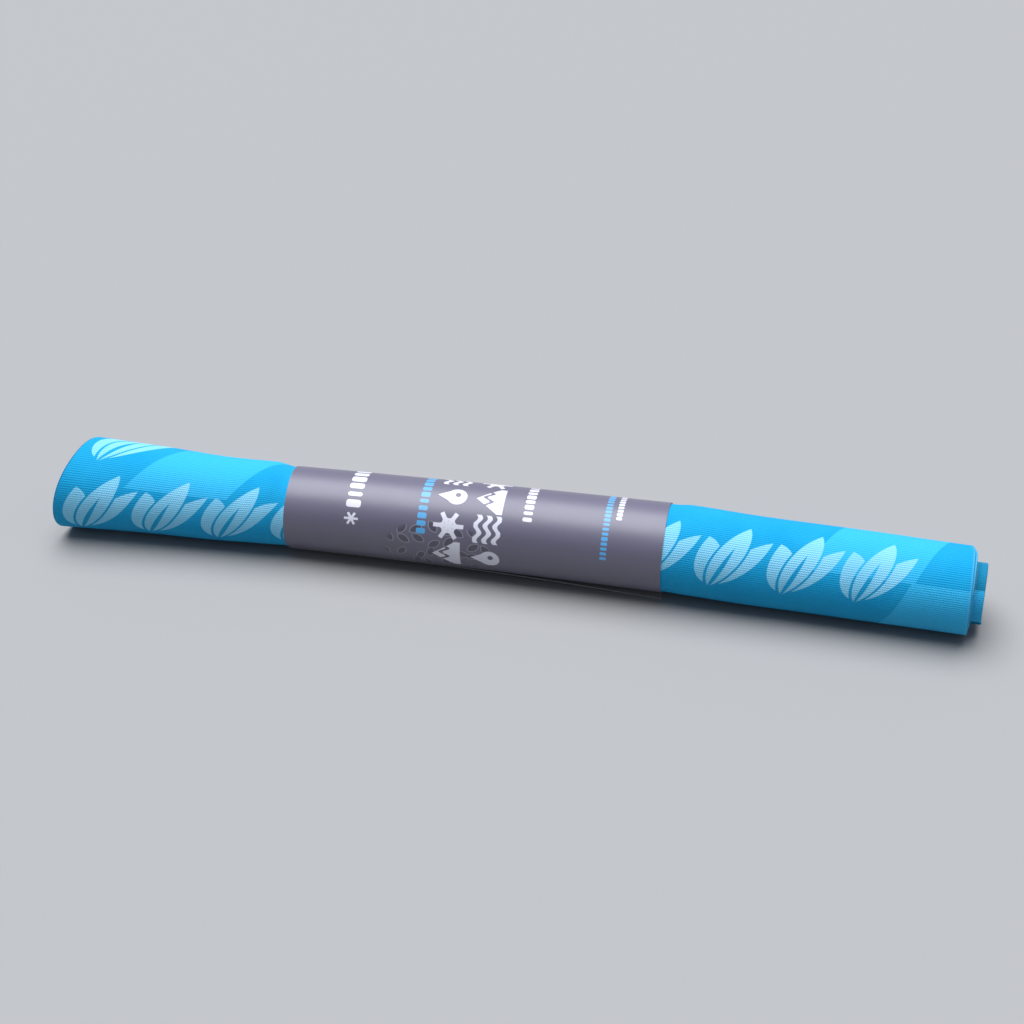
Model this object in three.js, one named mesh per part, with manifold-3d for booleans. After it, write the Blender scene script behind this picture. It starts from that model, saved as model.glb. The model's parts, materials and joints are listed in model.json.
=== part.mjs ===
// A neck gaiter as it is sold: a seamless knitted tube, pressed flat, rolled up from one mouth
// to the other, and held by a card sleeve that is wrapped round the roll and glued to itself.
//
// Millimetres, +Z up. The roll lies along X, on the sleeve's glued lap, with the lap's free edge
// towards -Y. The origin is under the middle of the object, on the surface that it rests on.

import * as THREE from "three";
import { mergeVertices } from "three/addons/utils/BufferGeometryUtils.js";
import Module from "manifold-3d";

const wasm = await Module();
wasm.setup();

// ---- Driving dimensions -------------------------------------------------------------------

// The knitted tube. Pressed flat it is two plies with a fold at each side, open at both mouths.
const TUBE_WIDTH = 250; // across the flat tube, which is the length of the roll
const TUBE_HEIGHT = 500; // from mouth to mouth, which is the length that is rolled up
const PLY = 0.3; // thickness of the knit
const PLY_GAP = 0.09; // between the two plies of the tube
const TURN_GAP = 0.13; // between one turn of the roll and the next
const EYE_RADIUS = 1.2; // the open eye in the middle of the roll
const MOUTH_ANGLE = -30; // where the outer mouth ends round the roll

// The inner turns have slid endways in the outer ones, so they are a piece that moves.
const OUTER_TURNS = 3.75; // turns outside the slipping surface
const PARTING_GAP = 0.3; // left between the two pieces of cloth, along the cloth
const CORE_SHIFT = 3.2; // how far the inner turns stand out at +X

// The card sleeve, wrapped once round the roll with its ends lapped.
const CARD = 0.25; // thickness of the card
const SLEEVE_LENGTH = 104; // along the roll
const SLEEVE_START = 64; // from the roll's -X end to the sleeve's
const SLEEVE_CLEARANCE = 0.3; // between the roll and the sleeve round it
const LAP = 14; // how far the card lies over itself
const FLAP_ANGLE = 248; // where the outer flap's free edge lies round the roll
const LAP_FALL_ANGLE = 80; // the arc over which the card comes down off its own end

// The line of glue in the lap.
const GLUE = 0.1; // thickness of the glue
const GLUE_WIDTH = 7; // round the roll
const GLUE_CLEARANCE = 0.1; // from the glue to the card on each side of it
const GLUE_INSET = 3.5; // from the flap's free edge to the glue
const GLUE_END_MARGIN = 6; // from the sleeve's ends to the glue's

// The roll has settled on the table, so every turn is flat underneath.
const FLAT_HALF_ANGLE = 15; // half of the arc that lies flat

const CLOTH_STEPS = 24; // straight facets in a turn of cloth
const CARD_STEP = 5; // degrees round the roll in a facet of card

const COLOURS = {
  knit: { color: "#15a6e0", roughness: 0.85, metalness: 0 },
  card: { color: "#6d6870", roughness: 0.42, metalness: 0 },
  glue: { color: "#e8e2cf", roughness: 0.3, metalness: 0 },
};

// ---- Sizes that follow --------------------------------------------------------------------

const BAND = 2 * PLY + PLY_GAP; // both plies of the flat tube
const PITCH = BAND + TURN_GAP; // from one turn to the next
const FIRST_RADIUS = EYE_RADIUS + BAND / 2; // middle of the band where the roll begins

// A band wound from FIRST_RADIUS uses 2 pi (FIRST_RADIUS t + PITCH t^2 / 2) of cloth in t turns.
const TURNS = (Math.sqrt(FIRST_RADIUS ** 2 + (PITCH * TUBE_HEIGHT) / Math.PI) - FIRST_RADIUS) / PITCH;
const ROLL_RADIUS = FIRST_RADIUS + PITCH * TURNS + BAND / 2;
const PARTING_TURN = TURNS - OUTER_TURNS;
const PARTING_RADIUS = FIRST_RADIUS + PITCH * PARTING_TURN;
const PARTING_SHARE = PARTING_GAP / (2 * Math.PI * PARTING_RADIUS); // of a turn

const SLEEVE_RADIUS = ROLL_RADIUS + SLEEVE_CLEARANCE; // the bore of the sleeve
const LAP_RISE = CARD + GLUE + 2 * GLUE_CLEARANCE; // how far the flap stands out over the card
const FLAP_RADIUS = SLEEVE_RADIUS + LAP_RISE;
const INNER_END_ANGLE = FLAP_ANGLE + degreesFor(LAP, FLAP_RADIUS); // of the card, under its flap

// ---- Shapes across the roll ---------------------------------------------------------------

function degreesFor(arcLength, radius) {
  return THREE.MathUtils.radToDeg(arcLength / radius);
}

// The point at an angle from +Y and a radius from the roll's axis, on a round that is flat below.
function across(angle, radius) {
  const a = THREE.MathUtils.degToRad(angle);
  const lowest = -radius * Math.cos(THREE.MathUtils.degToRad(FLAT_HALF_ANGLE));
  return new THREE.Vector2(radius * Math.cos(a), Math.max(radius * Math.sin(a), lowest));
}

// Angles from first to last, with a stop at every multiple of step between them.
function stops(first, last, step) {
  const found = [first];
  for (let a = step * Math.ceil(first / step); a < last; a += step) {
    if (a > first) found.push(a);
  }
  found.push(last);
  return found;
}

// The outline of a strip: radii is a function from an angle to its inner and outer radius.
function stripShape(angles, radii) {
  const inner = angles.map((a) => across(a, radii(a)[0]));
  const outer = angles.map((a) => across(a, radii(a)[1]));
  return new THREE.Shape([...outer, ...inner.reverse()]);
}

// A stretch of the wound band, from one turn to another, that is half this thick on each side of
// its middle. The roll winds outwards as the angle falls, and ends at MOUTH_ANGLE.
function windingShape(fromTurn, toTurn, thickness) {
  const angleAt = (turn) => MOUTH_ANGLE + 360 * (TURNS - turn);
  const middle = (angle) => FIRST_RADIUS + PITCH * (TURNS - (angle - MOUTH_ANGLE) / 360);
  const angles = stops(angleAt(toTurn), angleAt(fromTurn), 360 / CLOTH_STEPS);
  return stripShape(angles, (a) => [middle(a) - thickness / 2, middle(a) + thickness / 2]);
}

// ---- Solids -------------------------------------------------------------------------------

// A shape drawn across the roll, drawn out from 0 to a length. across() gives Y and Z, so the
// shape's own axes are turned to the part's: x to Y, y to Z and z to X.
function along(shape, length, from = 0) {
  const drawn = new THREE.ExtrudeGeometry(shape, { depth: length, bevelEnabled: false, steps: 1 });
  drawn.translate(0, 0, from);
  return drawn.applyMatrix4(
    new THREE.Matrix4().makeBasis(
      new THREE.Vector3(0, 1, 0),
      new THREE.Vector3(0, 0, 1),
      new THREE.Vector3(1, 0, 0),
    ),
  );
}

function toSolid(geometry) {
  const bare = geometry.clone();
  bare.deleteAttribute("normal");
  bare.deleteAttribute("uv");
  const merged = mergeVertices(bare);
  return new wasm.Manifold(
    new wasm.Mesh({
      numProp: 3,
      vertProperties: merged.attributes.position.array,
      triVerts: new Uint32Array(merged.index.array),
    }),
  );
}

function toGeometry(solid) {
  const mesh = solid.getMesh();
  const geometry = new THREE.BufferGeometry();
  geometry.setAttribute("position", new THREE.BufferAttribute(mesh.vertProperties, 3));
  geometry.setIndex(new THREE.BufferAttribute(mesh.triVerts, 1));
  geometry.computeVertexNormals();
  return geometry;
}

function piece(name, geometry, look, x) {
  const mesh = new THREE.Mesh(geometry, new THREE.MeshStandardMaterial(COLOURS[look]));
  mesh.name = name;
  mesh.position.x = x;
  return mesh;
}

// Some turns of the flat tube: a wound band, hollowed to two plies that stay joined at the side
// folds. The hollow runs out past both ends of the stretch, as the tube is open at its mouths.
function windings(fromTurn, toTurn) {
  const past = PLY / (2 * Math.PI * EYE_RADIUS);
  const band = toSolid(along(windingShape(fromTurn, toTurn, BAND), TUBE_WIDTH));
  const hollow = toSolid(
    along(windingShape(fromTurn - past, toTurn + past, PLY_GAP), TUBE_WIDTH - 2 * PLY, PLY),
  );
  return toGeometry(band.subtract(hollow));
}

function outerTurns() {
  return piece("gaiter_outer_turns", windings(PARTING_TURN, TURNS), "knit", -TUBE_WIDTH / 2);
}

function innerTurns() {
  const last = PARTING_TURN - PARTING_SHARE;
  return piece("gaiter_inner_turns", windings(0, last), "knit", CORE_SHIFT - TUBE_WIDTH / 2);
}

// One strip of card. It starts at the flap's free edge, passes below the roll, behind it, over it
// and down its front, and ends below it, under the flap.
function cardSleeve() {
  const bore = (angle) => {
    const fallen = THREE.MathUtils.clamp((angle - INNER_END_ANGLE) / LAP_FALL_ANGLE, 0, 1);
    return SLEEVE_RADIUS + LAP_RISE * (1 - fallen);
  };
  const angles = stops(FLAP_ANGLE, INNER_END_ANGLE + 360, CARD_STEP);
  const shape = stripShape(angles, (a) => [bore(a), bore(a) + CARD]);
  return piece("card_sleeve", along(shape, SLEEVE_LENGTH), "card", SLEEVE_START - TUBE_WIDTH / 2);
}

function glueLine() {
  const inner = SLEEVE_RADIUS + CARD + GLUE_CLEARANCE;
  const first = FLAP_ANGLE + degreesFor(GLUE_INSET, inner);
  const last = first + degreesFor(GLUE_WIDTH, inner);
  const shape = stripShape(stops(first, last, CARD_STEP), () => [inner, inner + GLUE]);
  const x = SLEEVE_START - TUBE_WIDTH / 2 + GLUE_END_MARGIN;
  return piece("sleeve_glue_line", along(shape, SLEEVE_LENGTH - 2 * GLUE_END_MARGIN), "glue", x);
}

// ---- The assembly -------------------------------------------------------------------------

const gaiter = new THREE.Group();
gaiter.add(outerTurns(), innerTurns(), cardSleeve(), glueLine());

// Everything above is built round the roll's axis. The group is then set on its rest surface,
// with the origin under the middle of its box.
const box = new THREE.Box3().setFromObject(gaiter);
const middle = box.getCenter(new THREE.Vector3());
gaiter.position.set(-middle.x, -middle.y, -box.min.z);

export default gaiter;
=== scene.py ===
"""A neck gaiter rolled up in its printed card sleeve, on a pale floor.

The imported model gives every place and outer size. Lengths below are in millimetres, in the
model's own axes: X along the roll, -Y to the front, Z up. Angles are in degrees round the roll's
axis, from the back (0) over the top (90) to the front (180) and underneath (270).
"""

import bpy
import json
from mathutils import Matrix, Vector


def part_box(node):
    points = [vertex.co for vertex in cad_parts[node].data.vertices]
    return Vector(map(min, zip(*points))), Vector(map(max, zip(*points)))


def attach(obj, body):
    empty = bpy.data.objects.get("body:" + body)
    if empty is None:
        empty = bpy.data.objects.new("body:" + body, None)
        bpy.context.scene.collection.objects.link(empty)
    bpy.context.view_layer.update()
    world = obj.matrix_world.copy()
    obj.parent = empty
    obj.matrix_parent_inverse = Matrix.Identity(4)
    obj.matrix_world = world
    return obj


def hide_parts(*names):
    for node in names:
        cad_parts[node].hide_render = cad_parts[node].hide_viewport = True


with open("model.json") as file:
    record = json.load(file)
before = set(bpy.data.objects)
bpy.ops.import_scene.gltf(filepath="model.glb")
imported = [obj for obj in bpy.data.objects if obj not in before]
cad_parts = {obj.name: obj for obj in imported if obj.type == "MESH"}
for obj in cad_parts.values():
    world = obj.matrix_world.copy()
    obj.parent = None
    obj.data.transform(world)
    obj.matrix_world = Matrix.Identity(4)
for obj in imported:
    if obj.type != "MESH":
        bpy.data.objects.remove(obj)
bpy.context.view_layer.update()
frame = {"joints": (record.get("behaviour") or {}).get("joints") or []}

import ast
import json
import math

import bpy
import mathutils
import numpy as np

# ---- Sizes ----------------------------------------------------------------------------------

MM = 0.001

# The tube: two plies of knit when it is pressed flat, wound up from its inner mouth.
TUBE_WIDTH = 250
TUBE_HEIGHT = 500
PLY = 0.3
PLY_GAP = 0.09
TURN_GAP = 0.13
EYE_RADIUS = 1.2  # of the hollow inside the first turn
MOUTH_ANGLE = -30  # where the outer mouth lies
OUTER_TURNS = 3.75  # the turns outside the surface that slips
PARTING_GAP = 0.3  # left between the two pieces of cloth, along the cloth

# The card sleeve.
CARD = 0.25
GLUE = 0.1
LAP = 14
FLAP_ANGLE = 240  # where the lap's free edge lies
FLAT_HALF_ANGLE = 15  # half of the arc underneath that the floor presses flat

BAND = 2 * PLY + PLY_GAP
PITCH = BAND + TURN_GAP
FIRST_RADIUS = EYE_RADIUS + BAND / 2
TURNS = (math.sqrt(FIRST_RADIUS ** 2 + PITCH * TUBE_HEIGHT / math.pi) - FIRST_RADIUS) / PITCH
ROLL_RADIUS = FIRST_RADIUS + PITCH * TURNS + BAND / 2
PARTING_TURN = TURNS - OUTER_TURNS
FLAT = math.cos(math.radians(FLAT_HALF_ANGLE))

# Places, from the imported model.
roll_low, roll_high = [corner / MM for corner in map(np.array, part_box("gaiter_outer_turns"))]
_, core_high = [corner / MM for corner in map(np.array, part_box("gaiter_inner_turns"))]
sleeve_low, sleeve_high = [corner / MM for corner in map(np.array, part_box("card_sleeve"))]
ROLL_LEFT, ROLL_RIGHT = roll_low[0], roll_high[0]
CORE_RIGHT = core_high[0]
SLEEVE_LEFT, SLEEVE_RIGHT = sleeve_low[0], sleeve_high[0]
SLEEVE_LENGTH = SLEEVE_RIGHT - SLEEVE_LEFT
AXIS_Y = (sleeve_low[1] + sleeve_high[1]) / 2

# ---- The roll's form ------------------------------------------------------------------------

# Mean radius of the last turn: a loose, flared left end, a waist, and a full right side.
LOOSE_GIRTH = [(ROLL_LEFT, 13.15), (-77, 11.42), (44, 12.1), (ROLL_RIGHT, 12.0)]
EASE = 12  # the length over which the girth rounds off
SQUEEZED_GIRTH = (10.9, 11.9)  # at the sleeve's left and right ends
SQUEEZE = 5  # the length over which the cloth swells out of the sleeve
BOW = 2.3  # how far the roll's ends lie in front of its middle
BOW_MIDDLE = 1.6  # how far the middle lies behind the model's axis
SAG = 25  # the length over which the cloth comes down to the floor outside the sleeve
CORNER = 0.5  # how far the flat underneath rounds into the sides
MEAN_RADIUS = ROLL_RADIUS - PITCH / 2
BOTTOM_RADIUS = ROLL_RADIUS - PITCH * (270 - FLAT_HALF_ANGLE - MOUTH_ANGLE) / 360
ROLL_TO_CARD = 0.06  # from the cloth to the card
LAP_RISE = CARD + GLUE + 0.08  # how far the flap stands out over the card
UNDER_CARD = ROLL_TO_CARD + LAP_RISE + CARD  # from the cloth to the floor, through the lap
OFF_FLOOR = 0.12  # what the spiral's corners need to stay above the floor


def eased(share):
    """A smooth step from 0 to 1."""
    share = np.clip(share, 0, 1)
    return share * share * (3 - 2 * share)


def in_sleeve(x, fade):
    """1 inside the sleeve and 1 mm past its ends, falling to 0 over a distance beyond."""
    return eased((x - SLEEVE_LEFT + 1) / fade + 1) * eased((SLEEVE_RIGHT + 1 - x) / fade + 1)


def girth_scale(x):
    """The size of the roll's section at x, as a share of its nominal one."""
    loose = sum(np.interp(x + step, *zip(*LOOSE_GIRTH)) for step in np.linspace(-EASE, EASE, 9)) / 9
    tight = np.interp(x, (SLEEVE_LEFT, SLEEVE_RIGHT), SQUEEZED_GIRTH)
    held = in_sleeve(x, SQUEEZE)
    return (loose * (1 - held) + tight * held) / MEAN_RADIUS


def centre_y(x):
    return AXIS_Y + BOW_MIDDLE - BOW * (x / (TUBE_WIDTH / 2)) ** 2


def centre_z(x):
    return FLAT * (BOTTOM_RADIUS * girth_scale(x) + UNDER_CARD * in_sleeve(x, SAG)) + OFF_FLOOR


def smooth_max(a, b, width):
    """The same as Blender's own Smooth Maximum."""
    near = np.maximum(width - abs(a - b), 0) / width
    return np.maximum(a, b) + near ** 3 * width / 6


def placed(x, angle, radius, ahead):
    """The points at x, at an angle and a radius on the roll's flat-bottomed section. The section's
    middle is the one that the roll has a little way ahead."""
    a = np.radians(angle)
    y = centre_y(x + ahead) + radius * np.cos(a)
    z = centre_z(x + ahead) + smooth_max(radius * np.sin(a), -FLAT * radius, CORNER)
    return np.stack([x, y, z], -1)


# ---- Nodes ----------------------------------------------------------------------------------

OPERATORS = {
    ast.Add: "ADD", ast.Sub: "SUBTRACT", ast.Mult: "MULTIPLY", ast.Div: "DIVIDE",
    ast.Pow: "POWER", ast.Mod: "FLOORED_MODULO", ast.Lt: "LESS_THAN", ast.Gt: "GREATER_THAN",
}
FUNCTIONS = {"abs": "ABSOLUTE", "min": "MINIMUM", "max": "MAXIMUM", "sin": "SINE", "cos": "COSINE"}


def add(tree, kind, inputs={}, **settings):
    """Adds a node with its settings, and links or sets its inputs."""
    node = tree.nodes.new(kind)
    for name, value in settings.items():
        setattr(node, name, value)
    for key, value in inputs.items():
        if isinstance(value, bpy.types.Node):
            value = value.outputs[0]
        if isinstance(value, bpy.types.NodeSocket):
            tree.links.new(value, node.inputs[key])
        else:
            node.inputs[key].default_value = value
    return node


def formula(tree, text, **values):
    """Adds the Math nodes that work out a formula of the named sockets and numbers. Functions that
    aren't in FUNCTIONS, such as smooth_max, are the Math node's operations of the same name."""
    def built(part):
        if isinstance(part, ast.Constant):
            return part.value
        if isinstance(part, ast.Name):
            return values[part.id]
        if isinstance(part, ast.UnaryOp):
            kind, terms = "MULTIPLY", [part.operand, ast.Constant(-1)]
        elif isinstance(part, ast.Compare):
            kind, terms = OPERATORS[type(part.ops[0])], [part.left, part.comparators[0]]
        elif isinstance(part, ast.BinOp):
            kind, terms = OPERATORS[type(part.op)], [part.left, part.right]
        else:
            kind, terms = FUNCTIONS.get(part.func.id, part.func.id.upper()), part.args
        inputs = {i: built(term) for i, term in enumerate(terms)}
        return add(tree, "ShaderNodeMath", inputs, operation=kind).outputs[0]

    return built(ast.parse(text.strip()).body[0].value)


def colour(hex_code):
    """An sRGB hex value as linear red, green, blue and alpha."""
    parts = [int(hex_code[i:i + 2], 16) / 255 for i in (1, 3, 5)]
    return [p / 12.92 if p <= 0.04045 else ((p + 0.055) / 1.055) ** 2.4 for p in parts] + [1]


def mixed(tree, share, first, second, blend="MIX"):
    """A colour that turns from the first to the second as share goes from 0 to 1."""
    node = add(tree, "ShaderNodeMix", {0: share, 6: first, 7: second}, data_type="RGBA",
               blend_type=blend)
    return node.outputs[2]


def new_material(name, **shader):
    """A material and its shader, with the values that are the same all over it."""
    material = bpy.data.materials.new(name)
    material.use_nodes = True
    tree = material.node_tree
    bsdf = tree.nodes["Principled BSDF"]
    for key, value in shader.items():
        bsdf.inputs[key.replace("_", " ")].default_value = value
    return material, tree, bsdf


# ---- The knit -------------------------------------------------------------------------------

# Real microfibre jersey has loops of about 0.45 mm. They are drawn at 0.6 by 0.56 mm, the finest
# that still shows as ribs of small V's from where the roll is seen.
WALE = TUBE_WIDTH * 2 / 832
COURSE = 0.56

# The print, in millimetres along the roll and in from the outer mouth.
FRONT_ROW = 40.6  # from the mouth to the middle of the row of sprigs along the front
SPRIG_ROW = 20  # from one row to the next
SPRIG_PITCH = 18.9  # from one sprig to the next in a row
SPRIG_START = 7.5  # bare cloth before the first
SPRIG_SLANT = 0.5  # how far a sprig leans along, for its height
SPRIGS = 12  # in a row
SHORT_ROW = 1  # how many sprigs every other row has
PRINT_SKEW = -0.034  # how far the rows climb, for their length
BLOCK_PITCH = 91.9
BLOCK_MIDDLE = 54.8  # along from the left fold, for one of them, at the mouth
BLOCK_WIDTH = 28
BLOCK_ROW = 34
BLOCK_SLANT = 0.5
END_BLOCK_MIDDLE = 270  # the same for the one at the right end, in the rows between
END_BLOCK_WIDTH = 36

INK_GROUND = "#0ca7dc"
# The ground colour made darker, for the turns inside the roll.
GROUND_DARKER_INSIDE = "#0b7b9e"
INK_BLOCK = "#38c1f4"
INK_SPRIG = "#97e2ff"


def leaf(tree, p, q, x, y, turn, length, width):
    """Below 0 inside a pointed leaf of that half length and half width, with its middle at x, y."""
    radius = (length ** 2 + width ** 2) / (2 * width)
    c, s = math.cos(math.radians(turn)), math.sin(math.radians(turn))
    across = formula(tree, f"(p - {x}) * {c} - (q - {y}) * {s}", p=p, q=q)
    up = formula(tree, f"(p - {x}) * {s} + (q - {y}) * {c}", p=p, q=q)
    return formula(tree, f"sqrt((abs(a) + {radius - width}) ** 2 + b * b) - {radius}", a=across, b=up)


def cut_out(tree, text, sharp=0.12, **values):
    """1 where a distance formula is below 0, with an edge that is sharp mm wide."""
    inside = formula(tree, text, **values)
    return add(tree, "ShaderNodeMath", {0: formula(tree, f"0.5 - d / {sharp}", d=inside)},
               operation="ADD", use_clamp=True).outputs[0]


def cloth_place(tree):
    """Millimetres along the roll from its left fold, and in from the outer mouth."""
    flat = add(tree, "ShaderNodeUVMap", uv_map="cloth")
    parts = add(tree, "ShaderNodeSeparateXYZ", {0: flat})
    along = formula(tree, f"u * {TUBE_WIDTH * 2}", u=parts.outputs[0])
    return along, formula(tree, f"v * {TUBE_HEIGHT}", v=parts.outputs[1])


def knit_height(tree, along, inward):
    """From 0 between the loops to 1 on their crowns: columns of small V's."""
    side = formula(tree, f"abs(fract(u / {WALE}) - 0.5)", u=along)
    return formula(tree, f"(0.58 + 0.42 * cos(6.2832 * (v / {COURSE} + 0.7 * s))) * (1 - 1.8 * s * s)",
                   v=inward, s=side)


def sprigs(tree, across, inward):
    """1 on rows of leaning sprigs, each a veined leaf between two plain ones."""
    skewed = formula(tree, f"v - {PRINT_SKEW} * u", u=across, v=inward)
    # The front row counts as number 8, so that no number is below 0 and the full rows are even.
    row = formula(tree, f"(v - {FRONT_ROW}) / {SPRIG_ROW} + 8.5", v=skewed)
    up = formula(tree, f"(0.5 - fract(r)) * {SPRIG_ROW}", r=row)
    column = formula(tree, f"(u - {SPRIG_SLANT} * q - {SPRIG_START}) / {SPRIG_PITCH}", u=across, q=up)
    side = formula(tree, f"(fract(c) - 0.5) * {SPRIG_PITCH}", c=column)
    tall = leaf(tree, side, up, 0, 0.3, 0, 8.3, 3.6)
    vein = leaf(tree, side, up, 0, -3.2, 0, 6.4, 0.75)
    left_leaf = leaf(tree, side, up, -4.3, -1.2, -33, 7.4, 2.9)
    right_leaf = leaf(tree, side, up, 4.3, -1.2, 33, 7.4, 2.9)
    count = formula(tree, f"{SPRIGS} - {SPRIGS - SHORT_ROW} * (floor(r / 2) * 2 < floor(r) - 0.5)", r=row)
    bare = formula(tree, "9 * max(c < 0, c > n)", c=column, n=count)
    sprig = cut_out(tree, "max(max(a, -v), o)", a=tall, v=vein, o=bare)
    pair = cut_out(tree, "max(max(min(a, b), 0.8 - c), o)", a=left_leaf, b=right_leaf, c=tall, o=bare)
    return formula(tree, "max(a, b)", a=sprig, b=pair)


def blocks(tree, across, inward):
    """1 on blocks with leaning sides, and on one at the right end in the rows between them."""
    leaning = formula(tree, f"u + {BLOCK_SLANT} * v", u=across, v=inward)
    block = formula(tree, f"abs(fract((w - {BLOCK_MIDDLE}) / {BLOCK_PITCH} + 0.5) - 0.5) * {BLOCK_PITCH}"
                    f" - {BLOCK_WIDTH / 2}", w=leaning)
    row = formula(tree, f"abs(fract(v / {2 * BLOCK_ROW}) - 0.25) * {2 * BLOCK_ROW} - {BLOCK_ROW / 2}",
                  v=inward)
    end_block = formula(tree, f"abs(w - {END_BLOCK_MIDDLE}) - {END_BLOCK_WIDTH / 2}", w=leaning)
    return cut_out(tree, "min(max(a, r), max(b, -r))", a=block, b=end_block, r=row)


def printed_knit():
    """Polyester microfibre jersey, circular knitted and sublimation printed. The ink sinks into the
    yarn, so the face stays dry and soft with a faint sheen, and its ribs show through the print."""
    material, tree, bsdf = new_material(
        "sublimation_printed_microfibre_knit", Roughness=0.85, IOR=1.5, Sheen_Weight=0.03,
        Sheen_Roughness=0.4, Specular_IOR_Level=0.2)
    along, inward = cloth_place(tree)

    # Printed one face at a time with the tube pressed flat, so each face has its own copy. The
    # ground colour is made darker towards the turns inside the roll.
    across = formula(tree, f"fract(u / {TUBE_WIDTH}) * {TUBE_WIDTH}", u=along)
    ink = mixed(tree, formula(tree, f"min(max(v / {TUBE_HEIGHT} * 4 - 1.2, 0), 1)", v=inward),
                colour(INK_GROUND), colour(GROUND_DARKER_INSIDE))
    ink = mixed(tree, blocks(tree, across, inward), ink, colour(INK_BLOCK))
    ink = mixed(tree, sprigs(tree, across, inward), ink, colour(INK_SPRIG))

    # Painted shade darkens the hollows between the loops, and the print is a little uneven all over.
    height = knit_height(tree, along, inward)
    ink = mixed(tree, formula(tree, "0.6 * (1 - h)", h=height), ink, colour("#7f9db5"), "MULTIPLY")
    flat = add(tree, "ShaderNodeTexCoord").outputs["Object"]
    cloud = add(tree, "ShaderNodeTexNoise", {"Vector": flat, "Scale": 90, "Detail": 3})
    ink = mixed(tree, formula(tree, "(n - 0.5) * 0.5 + 0.1", n=cloud), ink, colour("#2bb4e2"))
    # A little undyed yarn shows along the side folds, where the ink is rubbed.
    to_fold = formula(tree, f"abs(fract(u / {TUBE_WIDTH} + 0.5) - 0.5) * {TUBE_WIDTH}", u=along)
    rubbed = formula(tree, "0.14 * (1 - min(d / 0.3, 1))", d=to_fold)
    ink = mixed(tree, rubbed, ink, colour("#bfe4f2"))
    tree.links.new(ink, bsdf.inputs["Base Color"])
    bump = add(tree, "ShaderNodeBump", {"Height": height, "Strength": 0.8, "Distance": 0.14 * MM})
    tree.links.new(bump.outputs[0], bsdf.inputs["Normal"])
    return material


def knit_reverse():
    """The back of the same knit: unprinted white polyester, with ink showing between its loops."""
    material, tree, bsdf = new_material("microfibre_knit_reverse", Roughness=0.9, IOR=1.53)
    along, inward = cloth_place(tree)
    height = knit_height(tree, along, inward)
    tint = mixed(tree, formula(tree, "0.35 + 0.4 * h", h=height), colour("#7fb7cf"), colour("#dfeef4"))
    tree.links.new(tint, bsdf.inputs["Base Color"])
    bump = add(tree, "ShaderNodeBump", {"Height": height, "Strength": 0.5, "Distance": 0.12 * MM})
    tree.links.new(bump.outputs[0], bsdf.inputs["Normal"])
    return material


# ---- The wound cloth ------------------------------------------------------------------------

LEFT_LEAN = 4.6  # how far the left end's front stands out past its back
LEFT_LEAN_ANGLE = 200  # where it stands out furthest
LEFT_SHY = 3.4  # how much shorter the outer turns are at the left than the tube's width
RIGHT_DRAWN_IN = 1.5  # how far the last turn's back is drawn in at the right
CORE_PLAY = 0.075  # how much smaller the inner turns are than their hollow, as a share
CORE_TRAVEL = np.array(next(j for j in frame["joints"] if j["name"] == "core_slide")["range_m"]) / MM
FOLD_STEPS = 6
LAST_TURN = 2 * math.pi * MEAN_RADIUS * 1.06  # the cloth in the last turn and a little more


def wander(turn, phases):
    """A small slow drift of the turns along the roll, which no two turns share."""
    return sum(np.sin(turn * rate + phase) for rate, phase in zip((2.1, 5.3, 9.7), phases)) / 3


def left_end(turn, angle):
    """Where each turn ends at the left: the deeper it lies, the straighter and the further in."""
    depth = 1 - turn / TURNS
    lean = -LEFT_LEAN * np.cos(np.radians(angle - LEFT_LEAN_ANGLE)) * (1 - 0.4 * depth)
    return ROLL_LEFT + LEFT_SHY + lean + 3 * depth + 0.35 * wander(turn, (0.3, 2.2, 4.0))


def right_end(turn, angle):
    """Where each turn ends at the right: the ones under the last stand out a little."""
    depth = 1 - turn / TURNS
    drawn_in = RIGHT_DRAWN_IN * eased((170 - (angle + 90) % 360) / 50) * (1 - 3 * depth)
    return ROLL_RIGHT - 0.35 - drawn_in + 0.6 * eased(depth * 9) + 0.25 * wander(turn, (1.9, 0.4, 3.1))


def core_left(turn, angle):
    return left_end(turn, angle) + 1.5


def core_right(turn, angle):
    return CORE_RIGHT + 0.2 + 0.35 * wander(turn, (4.4, 1.2, 0.2)) - 1.2 * (1 - turn / PARTING_TURN)


def core_scale(x):
    """The inner turns keep clear of the outer ones wherever they slide to."""
    return np.min([girth_scale(x + step) for step in np.linspace(*CORE_TRAVEL, 7)], axis=0) - CORE_PLAY


def ripple(x, angle, turn):
    """Slack in the outer turns: soft ripples, deeper at the loose left end, and puckers where the
    cloth leaves the sleeve."""
    a = np.radians(angle)
    loose = eased((-70 - x) / 45)
    free = 1 - in_sleeve(x, SQUEEZE)
    soft = 0.05 * np.sin(x / 7.5 + 1.3 * np.sin(2 * a)) + 0.06 * np.sin(x / 17 - 2 * a)
    slack = 0.22 * loose * np.sin(3 * a + x / 14) + 0.12 * loose * np.sin(5 * a - x / 9)
    edge = np.minimum(abs(x - SLEEVE_LEFT), abs(x - SLEEVE_RIGHT))
    pucker = 0.07 * np.exp(-edge / 5) * np.sin(13 * a + 0.3 * x)
    return (soft + slack + pucker) * free * (turn / TURNS) ** 4


def stations_along(count, close_to=()):
    """Shares of the way along a ply, closer together towards its ends and to some places."""
    plain = np.linspace(-1, 1, count)
    shares = [0.5 + 0.25 * (plain + np.sin(plain * math.pi / 2))]
    for x in close_to:
        shares.append((np.arange(x - 5, x + 6) - ROLL_LEFT) / TUBE_WIDTH)
    return np.sort(np.concatenate(shares))


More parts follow.
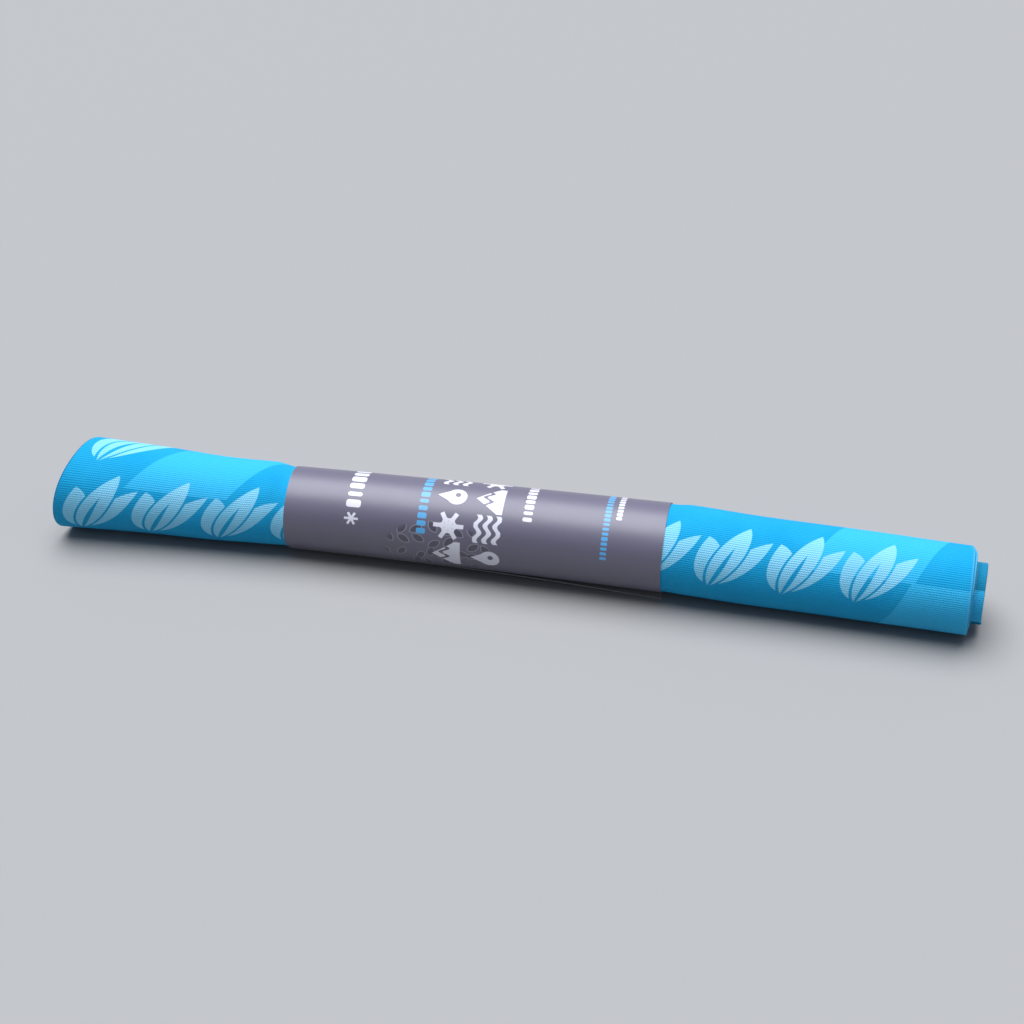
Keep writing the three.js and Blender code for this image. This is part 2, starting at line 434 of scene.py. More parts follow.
def once_round(stations):
    """The columns of a skin, once round the flattened tube: how far along a ply each one is, and
    how far round its fold, from 90 on the outward ply to -90 on the inward one and on to -270."""
    fold = np.linspace(90, -90, FOLD_STEPS + 1)[1:-1]
    share = np.concatenate([stations, np.ones(len(fold)), stations[::-1], np.zeros(len(fold))])
    turn_round = np.concatenate([np.full(len(stations), 90.0), fold,
                                 np.full(len(stations), -90.0), fold[::-1] - 180])
    return share, turn_round


def wound_skin(half, turns, share, turn_round, ends, scale, ahead, lifts_at_mouth):
    """The points of one skin, half a thickness out from the middle of the two plies: a row for
    each place along the spiral, and a column for each place round the flattened tube."""
    left, right = ends
    t = turns[:, None]
    a = MOUTH_ANGLE + 360 * (TURNS - t)
    low, high = left(t, a) + BAND / 2, right(t, a) - BAND / 2
    x = low + (high - low) * share + half * np.cos(np.radians(turn_round))
    s = scale(x)
    outward = half * np.sin(np.radians(turn_round))
    radius = (FIRST_RADIUS + PITCH * t) * s + outward * np.minimum(s, 1) + ripple(x, a, t)
    if lifts_at_mouth:
        end = np.clip(1 - (TURNS - t) / 0.1, 0, 1)
        radius = radius + end ** 2 * (0.35 + 0.2 * np.sin(x / 11)) * (1 - in_sleeve(x, 9))
        a = a - end * 1.6 * np.sin(x / 23 + 1)
    return placed(x, a + 0 * x, radius, ahead)


def skin_faces(count, around):
    """The corners of the faces of an outer and an inner skin, and of the rims that join them at
    both ends: which row, which column (without going back to 0) and which skin each corner is in.
    Then which of the four each face belongs to."""
    i, j = [part.ravel() for part in np.meshgrid(np.arange(count - 1), np.arange(around), indexing="ij")]
    rows, columns = np.stack([i, i, i + 1, i + 1], -1), np.stack([j, j + 1, j + 1, j], -1)
    ring = np.arange(around)
    rim = np.stack([ring, ring, ring + 1, ring + 1], -1)
    rim_skin = np.array([[0, 1, 1, 0]] * around)
    rows = np.concatenate([rows, rows[:, ::-1], 0 * rim, 0 * rim + count - 1])
    columns = np.concatenate([columns, columns[:, ::-1], rim, rim[:, ::-1]])
    outer = np.zeros((len(i), 4), int)
    skins = np.concatenate([outer, outer + 1, rim_skin, rim_skin[:, ::-1]])
    return rows, columns, skins, np.repeat([0, 1, 2, 3], [len(i), len(i), around, around])


# A texture's layout: how much of its height and width each of the two strips that show may take,
# and where the rest stands beside them: the outer skin's other faces, the inner skin, two rims.
STRIP_HEIGHT = 0.485
STRIPS_WIDTH = 0.76
STRIP_MARGIN = 6  # mm before each strip, for a face that lies across its start
REST_STARTS = np.array([0.77, 0.89, 0.986, 0.994])
REST_WIDTHS = np.array([0.11, 0.09, 0, 0])
RIM_WIDTH = 0.004


def texture_places(distance, depth, columns, rows, part):
    """Places in a 1 by 1 texture for a wound cloth's face corners. Most of it goes to the last
    turn, which is what shows, in two strips; the rest is side by side in what is left."""
    length = distance[-1]
    w, v = distance[columns], depth[rows]
    middle = columns.mean(axis=1, keepdims=True)
    last_fold = middle > len(distance) - 1 - FOLD_STEPS
    outward = last_fold | (middle < len(distance) / 2)
    shows = (part == 0)[:, None] & (v.max(axis=1, keepdims=True) <= LAST_TURN) & outward
    w_shown = w - length * last_fold
    second = w_shown.mean(axis=1, keepdims=True) > length / 4
    per_mm = min(STRIP_HEIGHT / (LAST_TURN + 1), STRIPS_WIDTH / (length / 4 + 2 * STRIP_MARGIN))
    across = np.where(shows, (w_shown + STRIP_MARGIN - second * length / 4) * per_mm,
                      REST_STARTS[part][:, None] + REST_WIDTHS[part][:, None] * v / depth.max())
    across = across + RIM_WIDTH * (part > 1)[:, None] * np.isin(np.arange(4), (1, 2))
    up = np.where(shows, v * per_mm + 0.5 * second, 0.002 + 0.996 * w / length)
    return np.stack([across, up], -1)


def wound_cloth(name, turns, stations, ends, scale, materials, ahead=0, lifts_at_mouth=False):
    """Some turns of the flattened tube as one closed skin: both plies, joined by a fold at each
    side, with their own thickness, open at the mouths."""
    share, turn_round = once_round(stations)
    skins = [wound_skin(half, turns, share, turn_round, ends, scale, ahead, lifts_at_mouth)
             for half in (BAND / 2, PLY_GAP / 2)]
    count, around = skins[0].shape[:2]
    verts = np.concatenate([skin.reshape(-1, 3) for skin in skins]) * MM
    rows, columns, level, part = skin_faces(count, around)
    faces = level * count * around + rows * around + columns % around
    v = verts[faces]
    volume = np.einsum("ij,ij->i", v[:, 0], np.cross(v[:, 1], v[:, 2]) + np.cross(v[:, 2], v[:, 3])).sum()
    if volume < 0:
        faces, rows, columns = faces[:, ::-1], rows[:, ::-1], columns[:, ::-1]

    mesh = bpy.data.meshes.new(name)
    mesh.from_pydata(verts.tolist(), [], faces.tolist())
    for material in materials:
        mesh.materials.append(material)
    mesh.polygons.foreach_set("material_index", (part == 1).astype(np.int32))
    mesh.polygons.foreach_set("use_smooth", np.ones(len(faces), dtype=bool))

    # The cloth laid flat: round the tube from its left fold, and in from its outer mouth.
    x = skins[0][count // 2, :, 0]
    flat_u = np.where(turn_round > 0, x - ROLL_LEFT, 2 * ROLL_RIGHT - x - ROLL_LEFT)
    flat_u = np.append(flat_u, flat_u[0] + 2 * TUBE_WIDTH)
    inward = 2 * math.pi * (FIRST_RADIUS * (TURNS - turns) + PITCH * (TURNS ** 2 - turns ** 2) / 2)
    cloth = np.stack([flat_u[columns] / (TUBE_WIDTH * 2), inward[rows] / TUBE_HEIGHT], -1)
    outward = BAND / 2 * np.sin(np.radians(turn_round))
    steps = np.hypot(np.diff(np.append(x, x[0])), np.diff(np.append(outward, outward[0])))
    distance = np.concatenate([[0], np.cumsum(steps)])
    bake = texture_places(distance, inward - inward.min(), columns, rows, part)
    for title, places in (("cloth", cloth), ("OFBake", bake)):
        layer = mesh.uv_layers.new(name=title)
        layer.uv.foreach_set("vector", places.astype(np.float32).ravel())
    mesh.set_sharp_from_angle(angle=math.radians(50))
    piece = bpy.data.objects.new(name, mesh)
    bpy.context.scene.collection.objects.link(piece)
    return piece


def shape_tree(name, **inputs):
    """A tree that makes a mesh, with inputs of each kind by name, and its group input's sockets."""
    tree = bpy.data.node_groups.new(name, "GeometryNodeTree")
    tree.is_modifier = True
    tree.interface.new_socket("Geometry", in_out="INPUT", socket_type="NodeSocketGeometry")
    tree.interface.new_socket("Geometry", in_out="OUTPUT", socket_type="NodeSocketGeometry")
    for kind, titles in inputs.items():
        for title in titles:
            tree.interface.new_socket(title, in_out="INPUT", socket_type="NodeSocket" + kind)
    return tree, add(tree, "NodeGroupInput").outputs


def fused_edge_tree():
    """Beads along an edge: the ends of knit loops that a heated blade has cut and sealed."""
    tree, given = shape_tree("fused_edge", Float=("Pitch", "Bead Width", "Bead Length"),
                             Int=("Seed",), Material=("Material",))
    edge = add(tree, "GeometryNodeMeshToCurve", {"Mesh": given["Geometry"]})
    edge = add(tree, "GeometryNodeResampleCurve", {"Curve": edge, "Length": given["Pitch"]}, mode="LENGTH")
    bead = add(tree, "GeometryNodeMeshUVSphere", {"Segments": 8, "Rings": 6, "Radius": 0.5})
    bead = add(tree, "GeometryNodeSetShadeSmooth", {"Geometry": bead})
    chance = add(tree, "FunctionNodeRandomValue", {2: 0.8, 3: 1.1, "Seed": given["Seed"]}).outputs[1]
    width = formula(tree, "w * c", w=given["Bead Width"], c=chance)
    length = formula(tree, "l * c", l=given["Bead Length"], c=chance)
    size = add(tree, "ShaderNodeCombineXYZ", {0: width, 1: width, 2: length})
    turned = add(tree, "FunctionNodeAlignRotationToVector",
                 {"Vector": add(tree, "GeometryNodeInputTangent")}, axis="Z")
    beads = add(tree, "GeometryNodeInstanceOnPoints", {
        "Points": edge, "Instance": bead, "Rotation": turned, "Scale": size})
    beads = add(tree, "GeometryNodeRealizeInstances", {0: beads})
    beads = add(tree, "GeometryNodeSetMaterial", {"Geometry": beads, "Material": given["Material"]})
    add(tree, "NodeGroupOutput", {0: beads})
    return tree


def mouth_line(piece, around):
    """The middle of the cloth's thickness along its outer mouth, as a mesh of edges."""
    corners = np.empty(len(piece.data.vertices) * 3)
    piece.data.vertices.foreach_get("co", corners)
    skins = corners.reshape(2, -1, around, 3)
    middle = skins[:, -1].mean(axis=0)
    line = bpy.data.meshes.new("mouth_line")
    line.from_pydata(middle.tolist(), [(i, (i + 1) % around) for i in range(around)], [])
    return line


# ---- The sleeve -----------------------------------------------------------------------------

INNER_END_ANGLE = FLAP_ANGLE + math.degrees(LAP / (ROLL_RADIUS + LAP_RISE))
LAP_FALL_ANGLE = 80  # the arc past the lap over which the card comes down to the cloth
MOUTH_RAMP = 22  # the arc over which the card climbs the step of the cloth's mouth
GLUE_ARC = (15.8, 48)  # where the glue lies, in degrees past the flap's free edge
GLUE_CLEAR = 0.04  # from the card under it
SPRUNG_FROM = 0.42  # the share of the sleeve's length where the flap starts to spring off
FLOOR_ANGLE = 270  # where the sprung flap meets the floor


def strip_radius(tree, given, x, angle, depth):
    """The strip's distance from the roll's middle, and the size of the roll's section: the roll's
    own surface at this angle, a ramp over the cloth's mouth, and the rise over the lap."""
    along = formula(tree, f"(x - {SLEEVE_LEFT}) / {SLEEVE_LENGTH}", x=x)
    left_girth, right_girth = SQUEEZED_GIRTH
    scale = formula(tree, f"({left_girth} + {right_girth - left_girth} * s) / {MEAN_RADIUS}", s=along)
    past = formula(tree, f"fract((a - {MOUTH_ANGLE}) / 360 + 2)", a=angle)
    wound_in = formula(tree, f"smooth_min(m, (1 - m) * {360 / MOUTH_RAMP}, 0.06)", m=past)
    rolled = formula(tree, f"({ROLL_RADIUS} - {PITCH} * w) * k", w=wound_in, k=scale)
    fallen = formula(tree, f"min(max((a - end) / {LAP_FALL_ANGLE}, 0), 1)", a=angle, end=given["Lap End"])
    rise = formula(tree, "rise * (1 - f * f * (3 - 2 * f))", f=fallen, rise=given["Lap Rise"])
    noise = add(tree, "ShaderNodeTexNoise", {
        "Vector": add(tree, "ShaderNodeCombineXYZ", {0: formula(tree, "x / 22", x=x),
                                                     1: formula(tree, "a / 60", a=angle)}),
        "Scale": 1.0, "Detail": 1.0})
    dents = formula(tree, "(n - 0.5) * d", n=noise, d=given["Dents"])
    radius = formula(tree, "rolled + off + rise + dents + depth * thick", rolled=rolled, rise=rise,
                     off=given["Stand Off"], dents=dents, depth=depth, thick=given["Thickness"])
    return radius, scale


def strip_section(tree, given, share, angle, radius):
    """Where the strip is in the roll's section, from the roll's middle: how far back and how far up.
    The flap's free edge has sprung off the roll at its right end, and lies on the floor."""
    a = formula(tree, "radians(a)", a=angle)
    back = formula(tree, "r * cos(a)", r=radius, a=a)
    up = formula(tree, f"smooth_max(r * sin(a), -{FLAT} * r, {CORNER})", r=radius, a=a)
    sprung = formula(tree, f"lie * min(max((s - {SPRUNG_FROM}) / {1 - SPRUNG_FROM}, 0), 1)",
                     lie=given["Flap Lie"], s=share)
    lying = formula(tree, f"min(max(({FLOOR_ANGLE} - a) / 12, 0), 1) * min(s, 1) * (a < {FLOOR_ANGLE})",
                    a=angle, s=sprung)
    spread = formula(tree, f"-r * radians({FLOOR_ANGLE} - a) * (1 + 0.12 * k)", a=angle, k=lying, r=radius)
    back = formula(tree, "y + k * (s - y)", y=back, k=lying, s=spread)
    up = formula(tree, f"z + k * (-{FLAT} * r - z)", z=up, k=lying, r=radius)
    return back, up


def wrapped_strip_tree():
    """A strip wrapped round the roll: a thin box whose X runs round the roll, Y along it, and Z
    from its inner face to its outer one."""
    tree, given = shape_tree(
        "wrapped_strip",
        Float=("First Angle", "Last Angle", "Left End", "Length", "Stand Off", "Thickness", "Lap End",
               "Lap Rise", "Flap Lie", "Dents"),
        Int=("Steps Round", "Steps Along"), Material=("Outer Face", "Inner Face", "Cut Edge"))
    shape = add(tree, "GeometryNodeMeshCube", {
        "Size": (1, 1, 1), "Vertices X": given["Steps Round"], "Vertices Y": given["Steps Along"],
        "Vertices Z": 2})
    outward = add(tree, "ShaderNodeSeparateXYZ", {0: add(tree, "GeometryNodeInputNormal")}).outputs[2]
    shape = add(tree, "GeometryNodeStoreNamedAttribute", {
        "Geometry": shape, "Name": "faces_out", "Value": outward}, data_type="FLOAT", domain="FACE")
    unit = add(tree, "ShaderNodeSeparateXYZ", {0: add(tree, "GeometryNodeInputPosition")})
    round_share, share, depth = [formula(tree, "p + 0.5", p=unit.outputs[i]) for i in range(3)]
    angle = formula(tree, "a + s * (b - a)", s=round_share, a=given["First Angle"], b=given["Last Angle"])
    x = formula(tree, "left + s * length", s=share, left=given["Left End"], length=given["Length"])
    radius, scale = strip_radius(tree, given, x, angle, depth)
    back, up = strip_section(tree, given, share, angle, radius)
    mid_y = formula(tree, f"{AXIS_Y + BOW_MIDDLE} - {BOW} * (x / {TUBE_WIDTH / 2}) ** 2", x=x)
    mid_z = formula(tree, f"{FLAT} * ({BOTTOM_RADIUS} * k + {UNDER_CARD}) + {OFF_FLOOR}", k=scale)
    place = add(tree, "ShaderNodeCombineXYZ", {
        0: formula(tree, f"x * {MM}", x=x), 1: formula(tree, f"(m + y) * {MM}", m=mid_y, y=back),
        2: formula(tree, f"(m + z) * {MM}", m=mid_z, z=up)})
    printed = add(tree, "ShaderNodeCombineXYZ", {
        0: formula(tree, "s * length", s=share, length=given["Length"]),
        1: formula(tree, f"radians(a - 450) * {ROLL_RADIUS + CARD}", a=angle), 2: depth})
    shape = add(tree, "GeometryNodeStoreNamedAttribute", {
        "Geometry": shape, "Name": "card_place", "Value": printed},
        data_type="FLOAT_VECTOR", domain="POINT")
    shape = add(tree, "GeometryNodeSetPosition", {"Geometry": shape, "Position": place})
    shape = add(tree, "GeometryNodeSetShadeSmooth", {"Geometry": shape})
    shape = add(tree, "GeometryNodeRealizeInstances", {0: shape})
    # The cut edge's material goes on every face first, then the two broad faces get theirs.
    facing = add(tree, "GeometryNodeInputNamedAttribute", {"Name": "faces_out"}, data_type="FLOAT")
    for name, test in (("Cut Edge", "f > -9"), ("Outer Face", "f > 0.5"), ("Inner Face", "-f > 0.5")):
        chosen = formula(tree, test, f=facing.outputs[0])
        shape = add(tree, "GeometryNodeSetMaterial", {
            "Geometry": shape, "Selection": chosen, "Material": given[name]})
    add(tree, "NodeGroupOutput", {0: shape})
    return tree


def grown(name, tree, start=None, **inputs):
    """A plain mesh object that a tree makes from a start mesh, or from its own inputs alone."""
    mesh = start or bpy.data.meshes.new(name + "_start")
    seed = bpy.data.objects.new(name + "_start", mesh)
    bpy.context.scene.collection.objects.link(seed)
    modifier = seed.modifiers.new("grow", "NODES")
    modifier.node_group = tree
    identifiers = {s.name: s.identifier for s in tree.interface.items_tree if s.in_out == "INPUT"}
    for key, value in inputs.items():
        modifier[identifiers[key.replace("_", " ")]] = value
    seed.update_tag()
    done = bpy.data.meshes.new_from_object(seed.evaluated_get(bpy.context.evaluated_depsgraph_get()))
    bpy.data.objects.remove(seed)
    done.name = name
    piece = bpy.data.objects.new(name, done)
    bpy.context.scene.collection.objects.link(piece)
    done.set_sharp_from_angle(angle=math.radians(40))
    return piece


# ---- The card -------------------------------------------------------------------------------

INK_CARD = "#646173"
INK_WHITE = "#dcdce6"
INK_BLUE = "#52a6dc"
SIXTH = math.radians(60)  # of a turn, for a flake's six arms


def card_place(tree):
    """Millimetres along the sleeve, and down its front from the top."""
    stored = add(tree, "ShaderNodeAttribute", attribute_name="card_place").outputs["Vector"]
    parts = add(tree, "ShaderNodeSeparateXYZ", {0: stored})
    return parts.outputs[0], parts.outputs[1]


def dashes(tree, x, down, left, width, start, end, pitch, seed):
    """A line of rounded blocks of uneven length, running up round the sleeve."""
    cell = formula(tree, f"({start} - g) / {pitch}", g=down)
    chance = add(tree, "ShaderNodeTexWhiteNoise", {"W": formula(tree, f"floor(c) + {seed}", c=cell)},
                 noise_dimensions="1D").outputs[0]
    corner = width * 0.18
    aside = formula(tree, f"max(abs(x - {left + width / 2}) - {width / 2 - corner}, 0)", x=x)
    beyond = formula(tree, f"max(abs(fract(c) - 0.5) * {pitch} - {pitch} * (0.22 + 0.2 * n) + {corner}, 0)",
                     c=cell, n=chance)
    return cut_out(tree, f"max(sqrt(a ** 2 + b ** 2) - {corner},"
                   f" abs(g - {(start + end) / 2}) - {(start - end) / 2})", sharp=0.08,
                   a=aside, b=beyond, g=down)


def sector(tree, p, q):
    """The angle from the nearest of six rays from the middle."""
    return formula(tree, f"abs(fract(arctan2(q, p) / {SIXTH} + 0.5) - 0.5) * {SIXTH}", p=p, q=q)


def pictures(tree, x, down, left, size, start, rows, first):
    """A column of plain weather pictures, one to a square: a peak, a snowflake, a drop, waves."""
    p = formula(tree, f"(x - {left + size / 2}) / {size / 2}", x=x)
    cell = formula(tree, f"({start} - g) / {size * 1.06}", g=down)
    q = formula(tree, "(fract(c) - 0.5) * 2.12", c=cell)
    kind = formula(tree, f"fract((floor(c) + {first}) / 4) * 4", c=cell)
    # Read with the roll upright, so each picture's own up is -p.
    peak = formula(tree, "max(max(abs(q) * 1.25 - (p + 0.95) * 0.93, p - 0.8),"
                   " 0.16 - abs(p + 0.2 + 0.22 * sin(q * 9)))", p=p, q=q)
    far = formula(tree, "sqrt(p * p + q * q)", p=p, q=q)
    flake = formula(tree, "min(max(r * sin(t) - 0.12, r - 0.95),"
                    " max(abs(r * cos(t) - 0.58 + 1.2 * r * sin(t)) - 0.1, r * sin(t) - 0.27))",
                    r=far, t=sector(tree, p, q))
    drop = formula(tree, "max(min(sqrt((p - 0.25) ** 2 + q * q) - 0.62,"
                   " max(abs(q) * 1.8 - (p + 0.95) * 0.98, p - 0.1)),"
                   " 0.2 - sqrt((p - 0.3) ** 2 + (q - 0.12) ** 2))", p=p, q=q)
    waves = formula(tree, "max(max(abs(fract((p + 0.14 * sin(q * 6.5)) / 0.62 + 0.5) - 0.5) * 0.62 - 0.14,"
                    " abs(p) - 0.86), abs(q) - 0.92)", p=p, q=q)
    shown = 0
    for number, shape in enumerate((peak, flake, drop, waves)):
        chosen = cut_out(tree, "d", sharp=0.035, d=shape)
        shown = formula(tree, f"s + c * (abs(k - {number}) < 0.3)", s=shown, c=chosen, k=kind)
    return formula(tree, f"s * (abs(p) < 1) * (c > 0) * (c < {rows})", s=shown, p=p, c=cell)


def scattered_leaves(tree, x, down):
    """1 inside small leaves that lie each way in an oval patch, and 1 on their outlines."""
    spot = add(tree, "ShaderNodeCombineXYZ", {0: x, 1: down})
    cells = add(tree, "ShaderNodeTexVoronoi", {"Vector": spot, "Scale": 0.25, "Randomness": 0.6},
                voronoi_dimensions="2D")
    middle = add(tree, "ShaderNodeSeparateXYZ", {0: cells.outputs["Position"]})
    chance = add(tree, "ShaderNodeSeparateXYZ", {0: cells.outputs["Color"]})
    turn = formula(tree, "c * 6.283", c=chance)
    aside = formula(tree, "x - a", x=x, a=middle.outputs[0])
    below = formula(tree, "y - b", y=down, b=middle.outputs[1])
    p = formula(tree, "x * cos(t) - y * sin(t)", x=aside, y=below, t=turn)
    q = formula(tree, "x * sin(t) + y * cos(t)", x=aside, y=below, t=turn)
    shape = leaf(tree, p, q, 0, 0, 0, 1.9, 1.05)
    patch = formula(tree, "sqrt(((x - 43) / 14) ** 2 + ((y - 19.5) / 8.5) ** 2) - 1", x=x, y=down)
    return (cut_out(tree, "max(d, p)", sharp=0.1, d=shape, p=patch),
            cut_out(tree, "max(abs(d) - 0.09, p)", sharp=0.08, d=shape, p=patch))


def printed_card():
    """Folding boxboard, offset printed a mauve grey and laminated with a satin film. The film gives
    the sleeve one soft band of light along its top, over ink that is quite even."""
    material, tree, bsdf = new_material(
        "satin_laminated_printed_card", IOR=1.5, Coat_Weight=0.45, Coat_Roughness=0.5)
    x, down = card_place(tree)
    inside, outline = scattered_leaves(tree, x, down)
    ink = mixed(tree, formula(tree, "0.55 * s", s=inside), colour(INK_CARD), colour("#2f2c36"))
    ink = mixed(tree, formula(tree, "0.7 * s", s=outline), ink, colour("#9a97a6"))

    white = 0
    for line in (
        dashes(tree, x, down, left=17.0, width=4.0, start=9.4, end=-12, pitch=2.9, seed=3),
        dashes(tree, x, down, left=65.6, width=2.5, start=8.4, end=-15, pitch=1.9, seed=11),
        dashes(tree, x, down, left=90.6, width=1.5, start=4.8, end=-13, pitch=1.3, seed=5),
        pictures(tree, x, down, left=41.4, size=8.6, start=25.2, rows=5, first=0),
        pictures(tree, x, down, left=52.0, size=8.6, start=25.2, rows=4, first=2),
    ):
        white = formula(tree, "max(a, b)", a=white, b=line)
    # A small six-armed star ahead of the first line.
    aside, below = formula(tree, "x - 18.8", x=x), formula(tree, "g - 12.4", g=down)
    far = formula(tree, "sqrt(p ** 2 + q ** 2)", p=aside, q=below)
    star = cut_out(tree, "max(r * sin(t) - 0.3, r - 1.9)", sharp=0.08, r=far, t=sector(tree, aside, below))
    white = formula(tree, "max(a, b)", a=white, b=star)
    blue = formula(tree, "max(a, b)",
                   a=dashes(tree, x, down, left=37.0, width=2.4, start=14.9, end=-12, pitch=2.2, seed=8),
                   b=dashes(tree, x, down, left=87.4, width=1.7, start=16.4, end=-13, pitch=1.35, seed=21))
    ink = mixed(tree, blue, ink, colour(INK_BLUE))
    ink = mixed(tree, white, ink, colour(INK_WHITE))

    # Fine unevenness in the ink, a film that isn't quite flat, and wear that dulls it in patches.
    flat = add(tree, "ShaderNodeTexCoord").outputs["Object"]
    grain = add(tree, "ShaderNodeTexNoise", {"Vector": flat, "Scale": 2600, "Detail": 2})
    ink = mixed(tree, formula(tree, "0.10 * n", n=grain), ink, colour("#55515c"))
    tree.links.new(ink, bsdf.inputs["Base Color"])
    film = add(tree, "ShaderNodeTexNoise", {"Vector": flat, "Scale": 320, "Detail": 2})
    bump = add(tree, "ShaderNodeBump", {"Height": film, "Strength": 0.25, "Distance": 0.06 * MM})
    tree.links.new(bump.outputs[0], bsdf.inputs["Normal"])
    rub = add(tree, "ShaderNodeTexNoise", {"Vector": flat, "Scale": 140, "Detail": 4})
    tree.links.new(formula(tree, "0.36 + 0.12 * n", n=rub), bsdf.inputs["Roughness"])
    return material


def fused_polyester():
    """Knit loops melted by the hot blade that cut them: hard beads of darker ink, which catch
    small points of light along the mouth."""
    material, tree, bsdf = new_material("heat_sealed_polyester_edge", Roughness=0.4, IOR=1.57)
    flat = add(tree, "ShaderNodeTexCoord").outputs["Object"]
    cloud = add(tree, "ShaderNodeTexNoise", {"Vector": flat, "Scale": 700, "Detail": 2})
    tint = mixed(tree, cloud.outputs[0], colour("#0b7cab"), colour("#2ca4cd"))
    tree.links.new(tint, bsdf.inputs["Base Color"])
    return material


def card_reverse():
    """The uncoated back of the board: matte grey recycled pulp, with the fine flecks of its fibre."""
    material, tree, bsdf = new_material("uncoated_board_reverse", Roughness=0.88, IOR=1.48)
    flat = add(tree, "ShaderNodeTexCoord").outputs["Object"]
    fibre = add(tree, "ShaderNodeTexNoise", {"Vector": flat, "Scale": 900, "Detail": 6, "Distortion": 1.5})
    tint = mixed(tree, fibre.outputs[0], colour("#8b8782"), colour("#b9b5ad"))
    tree.links.new(tint, bsdf.inputs["Base Color"])
    bump = add(tree, "ShaderNodeBump", {"Height": fibre, "Strength": 0.3, "Distance": 0.05 * MM})
    tree.links.new(bump.outputs[0], bsdf.inputs["Normal"])
    return material


def card_edge():
    """The board's guillotined edge: bare grey-white pulp, a thin light line round the sleeve."""
    material, tree, bsdf = new_material("guillotined_board_edge", Roughness=0.8, IOR=1.48)
    flat = add(tree, "ShaderNodeTexCoord").outputs["Object"]
    fibre = add(tree, "ShaderNodeTexNoise", {"Vector": flat, "Scale": 1500, "Detail": 3})
    tint = mixed(tree, fibre.outputs[0], colour("#7c7980"), colour("#bbb8b6"))
    tree.links.new(tint, bsdf.inputs["Base Color"])
    return material


def hot_melt_glue():
    """Ethylene-vinyl-acetate hot melt, pressed thin while soft: waxy, cream and slightly clear."""
    material, tree, bsdf = new_material("pressed_hot_melt_glue", Roughness=0.35, IOR=1.48,
                                        Transmission_Weight=0.25)
    flat = add(tree, "ShaderNodeTexCoord").outputs["Object"]
    cloud = add(tree, "ShaderNodeTexNoise", {"Vector": flat, "Scale": 400, "Detail": 2})
    tint = mixed(tree, cloud.outputs[0], colour("#d9cfa9"), colour("#efe8cf"))
    tree.links.new(tint, bsdf.inputs["Base Color"])
    return material


# ---- Building -------------------------------------------------------------------------------

FINE_STEP, COARSE_STEP = 4 / 360, 8 / 360  # of a turn, in the last turn and under it

knit, reverse = printed_knit(), knit_reverse()
fine_turns = np.arange(TURNS, TURNS - 1.15, -FINE_STEP)[::-1]
outer_turns = np.concatenate([np.arange(PARTING_TURN, fine_turns[0], COARSE_STEP)[:-1], fine_turns])
along_ply = stations_along(62, close_to=(SLEEVE_LEFT - 1, SLEEVE_RIGHT + 1))
gaiter_outer = wound_cloth("gaiter_rolled_outside", outer_turns, along_ply, (left_end, right_end),
                           girth_scale, (knit, reverse), lifts_at_mouth=True)
parting = PARTING_TURN - PARTING_GAP / (2 * math.pi * (FIRST_RADIUS + PITCH * PARTING_TURN))
inner_turns = np.linspace(0, parting, 300)
gaiter_inner = wound_cloth("gaiter_rolled_inside", inner_turns, stations_along(30),
                           (core_left, core_right), core_scale, (knit, reverse), ahead=CORE_TRAVEL.mean())

mouth = mouth_line(gaiter_outer, around=2 * (len(along_ply) + FOLD_STEPS - 1))
sealed_edge = grown("sealed_mouth_edge", fused_edge_tree(), start=mouth, Pitch=0.62 * MM,
                    Bead_Width=0.3 * MM, Bead_Length=0.62 * MM, Seed=3, Material=fused_polyester())

strip = wrapped_strip_tree()
sleeve = grown("card_sleeve_wrapped", strip, First_Angle=FLAP_ANGLE, Last_Angle=INNER_END_ANGLE + 360,
               Left_End=SLEEVE_LEFT, Length=SLEEVE_LENGTH, Stand_Off=ROLL_TO_CARD, Thickness=CARD,
               Lap_End=INNER_END_ANGLE, Lap_Rise=LAP_RISE, Flap_Lie=1.0, Dents=0.12, Steps_Round=143,
               Steps_Along=53, Outer_Face=printed_card(), Inner_Face=card_reverse(),
               Cut_Edge=card_edge())
# The glue lies on the sleeve's inner end, under the flap.
glue_first, glue_last = [FLAP_ANGLE + past for past in GLUE_ARC]
glue_low, glue_high = [corner / MM for corner in map(np.array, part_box("sleeve_glue_line"))]
glue_look = hot_melt_glue()
glue = grown("sleeve_glue_pressed", strip, First_Angle=glue_first, Last_Angle=glue_last,
             Left_End=glue_low[0], Length=glue_high[0] - glue_low[0],
             Stand_Off=ROLL_TO_CARD + CARD + GLUE_CLEAR, Thickness=GLUE, Lap_End=0.0, Lap_Rise=0.0,
             Flap_Lie=0.0, Dents=0.12, Steps_Round=12, Steps_Along=47, Outer_Face=glue_look,
             Inner_Face=glue_look, Cut_Edge=glue_look)

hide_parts("gaiter_outer_turns")
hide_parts("gaiter_inner_turns")
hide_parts("card_sleeve")
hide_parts("sleeve_glue_line")
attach(gaiter_outer, "roll")
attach(sealed_edge, "roll")
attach(gaiter_inner, "core")
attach(sleeve, "sleeve")
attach(glue, "sleeve")

# ---- The studio -----------------------------------------------------------------------------

LENS = 91.4
VIEW_AZIMUTH = 10.94
VIEW_ELEVATION = 38
VIEW_DISTANCE = 703.7
VIEW_TARGET = (-0.9, -0.1, 19.4)
KEY_FROM = (-0.12, 0.16, 1)  # the way to the middle of the overhead light
FLOOR_REACH = 40  # metres, so that its edge never shows


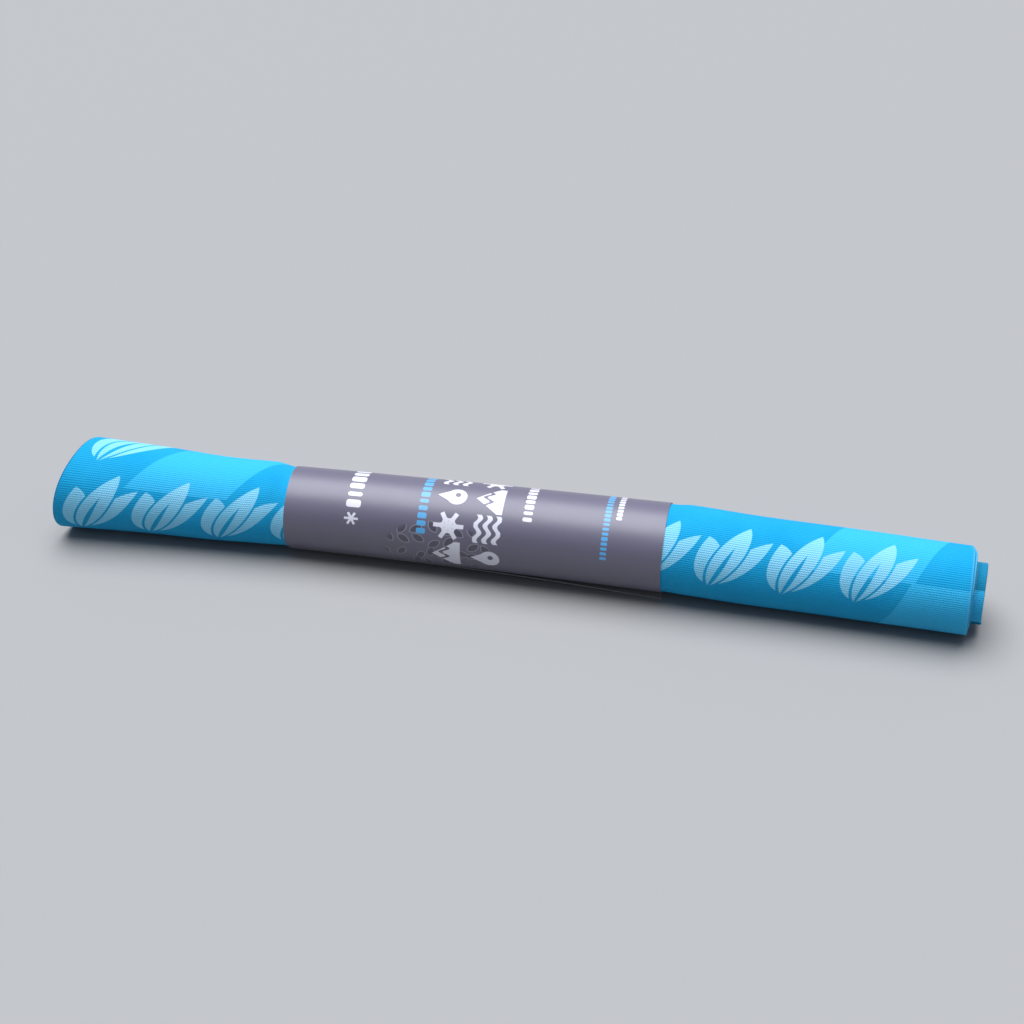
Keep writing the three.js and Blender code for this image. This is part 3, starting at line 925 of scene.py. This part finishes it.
def pale_floor():
    mesh = bpy.data.meshes.new("floor")
    corners = [(x * FLOOR_REACH, y * FLOOR_REACH, 0) for x, y in ((-1, -1), (1, -1), (1, 1), (-1, 1))]
    mesh.from_pydata(corners, [], [(0, 1, 2, 3)])
    floor = bpy.data.objects.new("floor", mesh)
    bpy.context.scene.collection.objects.link(floor)
    material, _, bsdf = new_material("matte_painted_floor", Roughness=0.9)
    bsdf.inputs["Base Color"].default_value = colour("#969695")
    mesh.materials.append(material)


def soft_sky():
    """A world that is brightest overhead, and brighter behind the roll than in front of it."""
    world = bpy.data.worlds.new("soft_sky")
    world.use_nodes = True
    tree = world.node_tree
    way = add(tree, "ShaderNodeSeparateXYZ", {0: add(tree, "ShaderNodeTexCoord").outputs["Generated"]})
    glow = formula(tree, "min(max(z + 0.4 * y, 0), 1)", y=way.outputs[1], z=way.outputs[2])
    sky = mixed(tree, glow, colour("#7b8593"), colour("#dde5f7"))
    background = tree.nodes["Background"]
    tree.links.new(sky, background.inputs["Color"])
    background.inputs["Strength"].default_value = 0.5
    bpy.context.scene.world = world


def overhead_light():
    """One very large soft light, high up and a little behind the roll."""
    light = bpy.data.lights.new("key", "SUN")
    light.angle = math.radians(60)
    light.energy = 5
    light.color = colour("#f8faff")[:3]
    lamp = bpy.data.objects.new("key", light)
    bpy.context.scene.collection.objects.link(lamp)
    lamp.rotation_euler = mathutils.Vector(KEY_FROM).to_track_quat("Z", "Y").to_euler()


def camera():
    azimuth, elevation = math.radians(VIEW_AZIMUTH), math.radians(VIEW_ELEVATION)
    back = np.array([math.sin(azimuth) * math.cos(elevation), -math.cos(azimuth) * math.cos(elevation),
                     math.sin(elevation)])
    lens = bpy.data.cameras.new("camera")
    lens.lens, lens.sensor_width, lens.clip_start = LENS, 36, 0.01
    viewer = bpy.data.objects.new("camera", lens)
    bpy.context.scene.collection.objects.link(viewer)
    viewer.location = (np.array(VIEW_TARGET) + back * VIEW_DISTANCE) * MM
    viewer.rotation_euler = (math.radians(90 - VIEW_ELEVATION), 0, azimuth)
    bpy.context.scene.camera = viewer


bpy.context.scene.view_settings.view_transform = "Standard"
pale_floor()
soft_sky()
overhead_light()
camera()
